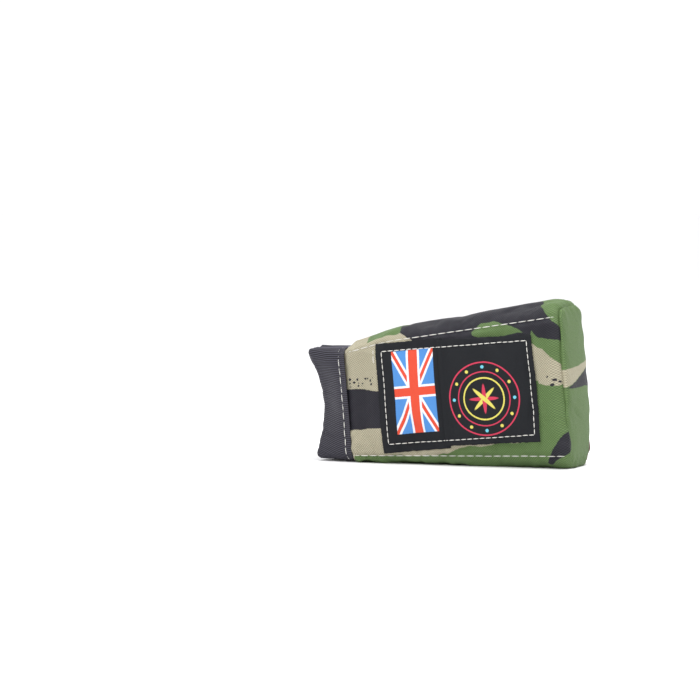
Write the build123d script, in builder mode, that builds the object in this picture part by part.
"""Padded fabric cover with an elastic drawcord mouth.

A tapered, padded box of printed nylon, closed at one end and open at the other. It lies on one narrow
side, with its mouth towards -X, its wide front face towards -Y and its closed end towards +X. The
origin is under the middle of the box, on the surface that it lies on. Lengths are in millimetres.

"s" is the distance along the cover's own axis from the mouth's folded edge, and "t" the height above
that axis. The axis climbs a little towards the closed end, because the box tapers and its lower side
is flat on the ground.
"""

import os
from math import atan2, cos, radians, sin, tan

from build123d import *

os.makedirs("parts", exist_ok=True)

# Outside of the padded body
body_length = 123.0  # mouth edge to end seam
end_height = 75.0
tape_edge_height = 56.0  # at the edge of the mouth tape
body_depth = 37.0
end_corner = 6.0
tape_edge_corner = 3.4
end_crown = 2.2  # how far the end panel stands out
resting_flat = 0.05  # how much of the lower side is pressed flat
crown_slope = 7.0  # from the panel's rim to its flat middle

# Layers, from the outside in
fabric_thickness = 0.8
foam_thickness = 5.0
lining_thickness = 0.5
layer_gap = 0.15
pad_gap = 0.6  # between neighbouring pads
least_corner = 0.6

# Mouth tape: one tape folded over the raw edges, with the drawcord in its fold
tape_width = 18.5
tape_thickness = 0.9
tape_flush_gap = 0.9  # the tape's edge stands this far inside the body's line
raw_edge_room = 2.6  # between the tape's two layers, over the raw edges
raw_edge_s = 12.5
neck_gap = 0.3
neck_corner = 2.2
shoulder_s = 26.0  # where the padding begins
mouth_height = 48.0
mouth_depth = 32.0
mouth_corner = 7.5
mouth_dent = 12.0  # how far the elastic draws the front lip in
dent_corner = 9.0
nose_length = 1.8  # rounding of the folded edge, along the axis
nose_step = 1.2  # and across it
fold_end_s = 6.2  # the drawcord's fold keeps one size up to here
waist_s = 12.0  # where the tape is stitched tight behind the drawcord
waist_height_step = 2.2
waist_depth_step = 1.2
waist_dent = 0.2
edge_dent = 0.2

# Drawcord
cord_diameter = 2.6
cord_play = 0.35  # clear space each side of it in the fold
cord_s = 3.4
strand_spacing = 3.3
cord_turn = 2.4
exit_reach = 0.4  # how far the held cord stands out of the tape
exit_length = 8.4
exit_width = 4.4
knot_length = 10.5
knot_diameter = 8.8
knot_corner = 3.0
knot_gap = 0.15

# Stitching
thread_diameter = 0.5
thread_lift = 0.05  # clear space between a thread and the cloth under it
tape_thread_lift = 0.12
seam_edge_inset = 6.2  # edge stitching, in from the narrow sides, at the end seam
seam_tape_inset = 3.6  # and at the tape's edge
seam_end_gap = 1.5
seam_start_gap = 0.6
mouth_stitch_s = 15.4

# Labels
label_thickness = 0.5
flag_label_s = 35.0
flag_label_length = 30.6
flag_label_width = 50.2
emblem_label_length = 44.6
emblem_label_width = 49.0
label_gap = 0.2
label_corner = 0.8
label_stitch_inset = 2.8
label_stitch_corner = 1.5

# Routes of the free cord, from where the two strands leave the tape, over the back, to the ground. Each
# point is (distance past the mouth's edge, distance behind the body's middle, height above the ground).
UPPER_LEG = [
    (3.2, 17.4, 28.2),
    (2.3, 24.4, 27.4),
    (4.0, 31.9, 20.0),
    (8.3, 37.8, 11.3),
    (15.1, 42.1, 5.2),
    (23.1, 45.6, 4.5),
]
LOWER_LEG = [
    (3.5, 17.4, 24.9),
    (4.6, 24.0, 25.0),
    (6.8, 30.3, 19.2),
    (10.4, 35.2, 10.8),
    (16.4, 39.1, 5.1),
    (24.4, 42.4, 4.5),
]
LEFT_TAIL = [(33.8, 50.2, 4.2), (39.1, 53.4, 2.7), (44.3, 56.9, 1.7)]
RIGHT_TAIL = [(35.1, 47.0, 4.3), (40.8, 48.2, 2.6), (46.5, 48.0, 1.6)]

# Worked out
half_taper = atan2((end_height - tape_edge_height) / 2, body_length - tape_width)
total_length = body_length + end_crown
along = Vector(cos(half_taper), 0, sin(half_taper))
upward = Vector(-sin(half_taper), 0, cos(half_taper))
to_back = Vector(0, 1, 0)
thread_radius = thread_diameter / 2
cord_radius = cord_diameter / 2

foam_inset = fabric_thickness + layer_gap
foam_inner_inset = foam_inset + foam_thickness
lining_inset = foam_inner_inset + layer_gap
end_pad_s = body_length - layer_gap - foam_thickness
side_pad_end_s = end_pad_s - layer_gap
lining_end_s = side_pad_end_s - lining_thickness
lining_neck_step = fabric_thickness + neck_gap

fold_width = cord_diameter + 2 * cord_play + 2 * tape_thickness
waist_width = raw_edge_room + 2 * tape_thickness


def between(s, first, last):
    """A size at station s, of one that is `first` at the tape's edge and `last` at the end seam."""
    return first + (last - first) * (s - tape_width) / (body_length - tape_width)


def height_at(s):
    return between(s, tape_edge_height, end_height)


def corner_at(s):
    return between(s, tape_edge_corner, end_corner)


def tape_sizes(s):
    """Height, depth, corner and dent of the tape's outside at station s."""
    edge_height = tape_edge_height - 2 * tape_flush_gap
    edge_depth = body_depth - 2 * tape_flush_gap
    edge = (edge_height, edge_depth, tape_edge_corner, edge_dent)
    waist = (
        edge_height - waist_height_step,
        edge_depth - waist_depth_step,
        tape_edge_corner + 1.0,
        waist_dent,
    )
    mouth = (mouth_height, mouth_depth, mouth_corner, mouth_dent)
    if s > waist_s:
        near, far, share = waist, edge, (s - waist_s) / (tape_width - waist_s)
    else:
        near, far, share = mouth, waist, max(s - fold_end_s, 0) / (waist_s - fold_end_s)
    return [low + (high - low) * share for low, high in zip(near, far)]


def neck_step(s):
    """How far the wrap's neck is stepped in at s, to lie just inside the tape's outer layer."""
    height, depth = tape_sizes(s)[:2]
    return max(height_at(s) - height, body_depth - depth) / 2 + tape_thickness + neck_gap


def seam_t(s):
    """How far the edge stitching is above and below the axis."""
    return height_at(s) / 2 - between(s, seam_tape_inset, seam_edge_inset)


mouth_reach = (mouth_height / 2 - nose_step) * sin(half_taper)
end_reach = (end_height / 2 - crown_slope) * sin(half_taper)
start = Vector(
    (mouth_reach - end_reach - total_length * cos(half_taper)) / 2,
    0,
    height_at(0) / 2 * cos(half_taper) - resting_flat,
)


def place(s, t, depth=0.0):
    """A point of the cover: along its axis, above it and towards its back."""
    return start + along * s + upward * t + to_back * depth


def station(s):
    """The plane across the axis at s. Its x runs to the back and its y upwards."""
    return Plane(origin=place(s, 0), x_dir=to_back, z_dir=along)


def front_plane(s, lift=0.0):
    """The plane of the front face, moved outwards by lift. Its x runs along the axis."""
    return Plane(origin=place(s, 0, -body_depth / 2 - lift), x_dir=along, z_dir=-to_back)


def save(piece, name):
    piece.part.label = name
    export_step(piece.part, f"parts/{name}.step")


# ---------------------------------------------------------------------------------------------
# The padded body: wrap, end panel, pads and lining

def body_loft(steps, inset=0.0, mode=Mode.ADD):
    """A solid of the padded body's shape, through (station, step in from its outside)."""
    sections = []
    for s, step in steps:
        step = step + inset
        least = neck_corner if s <= tape_width else least_corner
        with BuildSketch(station(s), mode=Mode.PRIVATE) as section:
            corner = max(corner_at(s) - step, least)
            RectangleRounded(body_depth - 2 * step, height_at(s) - 2 * step, corner)
        sections.append(section.sketch)
    loft(sections, ruled=True, mode=mode)


def body_tube(steps, wall):
    body_loft(steps)
    body_loft(steps, wall, Mode.SUBTRACT)


with BuildPart() as outer_wrap:
    body_tube(
        (
            (raw_edge_s, neck_step(raw_edge_s)),
            (tape_width, neck_step(tape_width)),
            (shoulder_s, 0),
            (body_length, 0),
        ),
        fabric_thickness,
    )
    split(bisect_by=Plane.XY, keep=Keep.TOP)
save(outer_wrap, "outer_wrap")

with BuildPart() as lining_wrap:
    body_tube(
        (
            (raw_edge_s, neck_step(raw_edge_s) + lining_neck_step),
            (tape_width, neck_step(tape_width) + lining_neck_step),
            (shoulder_s, lining_inset),
            (lining_end_s, lining_inset),
        ),
        lining_thickness,
    )
save(lining_wrap, "lining_wrap")

with BuildPart() as lining_end:
    body_loft(((lining_end_s, lining_inset), (side_pad_end_s, lining_inset)))
save(lining_end, "lining_end")

with BuildPart() as end_pad:
    body_loft(((end_pad_s, foam_inset), (body_length - layer_gap, foam_inset)))
save(end_pad, "end_pad")


def crown_loft(inset, drop, mode=Mode.ADD):
    """The end panel's raised shape: its rim on the end seam and its flat middle further out."""
    sections = []
    for rise, step in ((0, inset), (end_crown - drop, inset + crown_slope)):
        with BuildSketch(station(body_length + rise), mode=Mode.PRIVATE) as section:
            corner = max(end_corner - step, least_corner)
            RectangleRounded(body_depth - 2 * step, end_height - 2 * step, corner)
        sections.append(section.sketch)
    loft(sections, ruled=True, mode=mode)


with BuildPart() as end_panel:
    crown_loft(0, 0)
    crown_loft(fabric_thickness, fabric_thickness, Mode.SUBTRACT)
    split(bisect_by=Plane.XY, keep=Keep.TOP)
save(end_panel, "end_panel")


def pad_plane(side, shift):
    """The plane where a narrow side's pad meets the wide ones: side 1 above the axis, -1 below."""
    first, last = (
        place(s, side * (height_at(s) / 2 - foam_inner_inset)) for s in (tape_width, body_length)
    )
    outward = (last - first).cross(to_back).normalized() * side
    return Plane(origin=first + outward * shift, x_dir=to_back, z_dir=outward)


def side_pads():
    steps = ((shoulder_s + layer_gap, foam_inset), (side_pad_end_s, foam_inset))
    body_tube(steps, foam_thickness)


for name, side in (("upper_pad", 1), ("lower_pad", -1)):
    with BuildPart() as narrow_pad:
        side_pads()
        split(bisect_by=pad_plane(side, 0), keep=Keep.TOP)
    save(narrow_pad, name)

for name, keep in (("front_pad", Keep.TOP), ("back_pad", Keep.BOTTOM)):
    with BuildPart() as wide_pad:
        side_pads()
        for side in (1, -1):
            split(bisect_by=pad_plane(side, -pad_gap), keep=Keep.BOTTOM)
        split(bisect_by=Plane.XZ, keep=keep)
    save(wide_pad, name)

# ---------------------------------------------------------------------------------------------
# The mouth: tape and drawcord. All its layers follow one outline, stepped in.

def mouth_outline(s, inset):
    """Corners and radii of the tape's outline at s, each side stepped in by inset."""
    height, depth, corner, dent = tape_sizes(s)
    lean = ((height / 2) ** 2 + dent**2) ** 0.5 / (height / 2)
    front = -depth / 2 + inset * (dent / (height / 2) + lean)
    dented = -depth / 2 + dent + inset * lean
    top, back = height / 2 - inset, depth / 2 - inset
    points = [(back, -top), (back, top), (front, top), (dented, 0), (front, -top)]
    outer = max(corner - inset, neck_corner)
    return points, [outer, outer, outer, dent_corner + inset, outer]


def tape_loft(steps, mode=Mode.ADD):
    """A solid through the mouth's outlines, one for each (station, step in from the outside)."""
    sections = []
    for s, inset in steps:
        points, radii = mouth_outline(s, inset)
        with BuildSketch(station(s), mode=Mode.PRIVATE) as section:
            with BuildLine():
                FilletPolyline(*points, radius=radii, close=True)
            make_face()
        sections.append(section.sketch)
    loft(sections, ruled=True, mode=mode)


def layer_steps(mouth, waist, first=0.0):
    """Steps of one of the tape's surfaces, at its inset by the drawcord and behind it."""
    rounding = nose_step if mouth < fold_width / 2 else -nose_step
    return (
        (first, mouth + rounding),
        (nose_length + first, mouth),
        (fold_end_s, mouth),
        (waist_s, waist),
        (tape_width, waist),
    )


def outside_back(s):
    return tape_sizes(s)[1] / 2


# The room inside the folded tape, for the drawcord and the raw edges
with BuildPart() as fold_room:
    tape_loft(layer_steps(tape_thickness, tape_thickness, tape_thickness))
    tape_loft(
        layer_steps(fold_width - tape_thickness, waist_width - tape_thickness, tape_thickness),
        Mode.SUBTRACT,
    )

with BuildPart() as mouth_tape:
    tape_loft(layer_steps(0, 0))
    tape_loft(layer_steps(fold_width, waist_width), Mode.SUBTRACT)
    add(fold_room.part, mode=Mode.SUBTRACT)
    exit_mouth = Plane(
        origin=place(cord_s, 0, outside_back(cord_s) - 2 * tape_thickness), x_dir=along, z_dir=to_back
    )
    with BuildSketch(exit_mouth):
        RectangleRounded(exit_width, exit_length, exit_width / 2 - 0.1)
    extrude(amount=4 * tape_thickness, mode=Mode.SUBTRACT)
save(mouth_tape, "mouth_tape")


def sweep_round(path, diameter):
    """A round bar along a path of lines and tangent arcs."""
    with BuildSketch(Plane(origin=path @ 0, z_dir=path % 0), mode=Mode.PRIVATE) as section:
        Circle(diameter / 2)
    sweep(section.sketch, path=path)


with BuildPart() as drawcord:
    points, radii = mouth_outline(cord_s, tape_thickness + cord_play + cord_radius)
    back = points[0][0]
    out = outside_back(cord_s) + exit_reach
    strand = strand_spacing / 2
    loop = [(out, strand), (back, strand), *points[1:], points[0], (back, -strand), (out, -strand)]
    with BuildLine(station(cord_s)) as route:
        FilletPolyline(*loop, radius=[cord_turn, *radii[1:], radii[0], cord_turn])
    sweep_round(route.wires()[0], cord_diameter)
save(drawcord, "drawcord")

# ---------------------------------------------------------------------------------------------
# The free ends of the drawcord

def cord_radii(points):
    """The largest arc that each corner's two runs allow."""
    corners = zip(points, points[1:], points[2:])
    radii = []
    for before, corner, after in corners:
        first, second = corner - before, after - corner
        turn = radians(first.get_angle(second))
        radii.append(0.45 * min(first.length, second.length) / tan(turn / 2))
    return radii


def from_mouth(points):
    """A route's points in the cover's own frame."""
    return [Vector(start.X + x, y, z) for x, y, z in points]


def cord_tube(points):
    radii = cord_radii(points)
    with BuildLine() as route:
        FilletPolyline(*points, radius=radii)
    path = route.wires()[0]
    sweep_round(path, cord_diameter)
    print("cord", round(path.length, 1), "mm long, radii", [round(radius, 1) for radius in radii])


for name, points in (
    ("upper_drawcord_leg", UPPER_LEG),
    ("lower_drawcord_leg", LOWER_LEG),
    ("left_drawcord_tail", LEFT_TAIL),
    ("right_drawcord_tail", RIGHT_TAIL),
):
    with BuildPart() as strand_piece:
        cord_tube(from_mouth(points))
    save(strand_piece, name)

leg_end = sum(from_mouth([UPPER_LEG[-1], LOWER_LEG[-1]]), Vector()) * 0.5
tail_start = sum(from_mouth([LEFT_TAIL[0], RIGHT_TAIL[0]]), Vector()) * 0.5
pull = (tail_start - leg_end).normalized()
pull = Vector(pull.X, pull.Y, 0).normalized()
print("pull axis", pull, "knot from", leg_end, "to", tail_start)
with BuildPart() as drawcord_knot:
    knot_start = leg_end + pull * knot_gap
    with BuildSketch(Plane(origin=knot_start, x_dir=(0, 0, 1), z_dir=pull)):
        Circle(knot_diameter / 2)
    extrude(amount=knot_length)
    fillet(drawcord_knot.edges().filter_by(GeomType.CIRCLE), knot_corner)
save(drawcord_knot, "drawcord_knot")

# ---------------------------------------------------------------------------------------------
# Stitching and labels

def edge_seam(face):
    """The two rows of edge stitching on the front (-1) or back (1) face."""
    depth = face * (body_depth / 2 + thread_lift + thread_radius)
    first, last = shoulder_s + seam_start_gap, body_length - seam_end_gap
    for side in (1, -1):
        with BuildLine() as row:
            Line(place(first, side * seam_t(first), depth), place(last, side * seam_t(last), depth))
        sweep_round(row.wires()[0], thread_diameter)


for name, face in (("front_edge_stitching", -1), ("back_edge_stitching", 1)):
    with BuildPart() as rows:
        edge_seam(face)
    save(rows, name)

with BuildPart() as mouth_stitching:
    points, radii = mouth_outline(mouth_stitch_s, -(tape_thread_lift + thread_radius))
    with BuildLine(station(mouth_stitch_s)) as ring:
        FilletPolyline(*points, radius=radii, close=True)
    sweep_round(ring.wires()[0], thread_diameter)
save(mouth_stitching, "mouth_stitching")

emblem_label_s = flag_label_s + flag_label_length + label_gap
labels_end_s = emblem_label_s + emblem_label_length
for name, s, length, width in (
    ("flag_label", flag_label_s, flag_label_length, flag_label_width),
    ("emblem_label", emblem_label_s, emblem_label_length, emblem_label_width),
):
    with BuildPart() as label:
        with BuildSketch(front_plane(s + length / 2)):
            RectangleRounded(length, width, label_corner)
        extrude(amount=label_thickness)
    save(label, name)

# One row of stitches goes round both labels
with BuildPart() as label_stitching:
    long = (labels_end_s - flag_label_s) / 2 - label_stitch_inset
    wide = min(flag_label_width, emblem_label_width) / 2 - label_stitch_inset
    corners = [(-long, -wide), (long, -wide), (long, wide), (-long, wide)]
    middle_s = (flag_label_s + labels_end_s) / 2
    with BuildLine(front_plane(middle_s, label_thickness + thread_lift + thread_radius)) as ring:
        FilletPolyline(*corners, radius=label_stitch_corner, close=True)
    sweep_round(ring.wires()[0], thread_diameter)
save(label_stitching, "label_stitching")
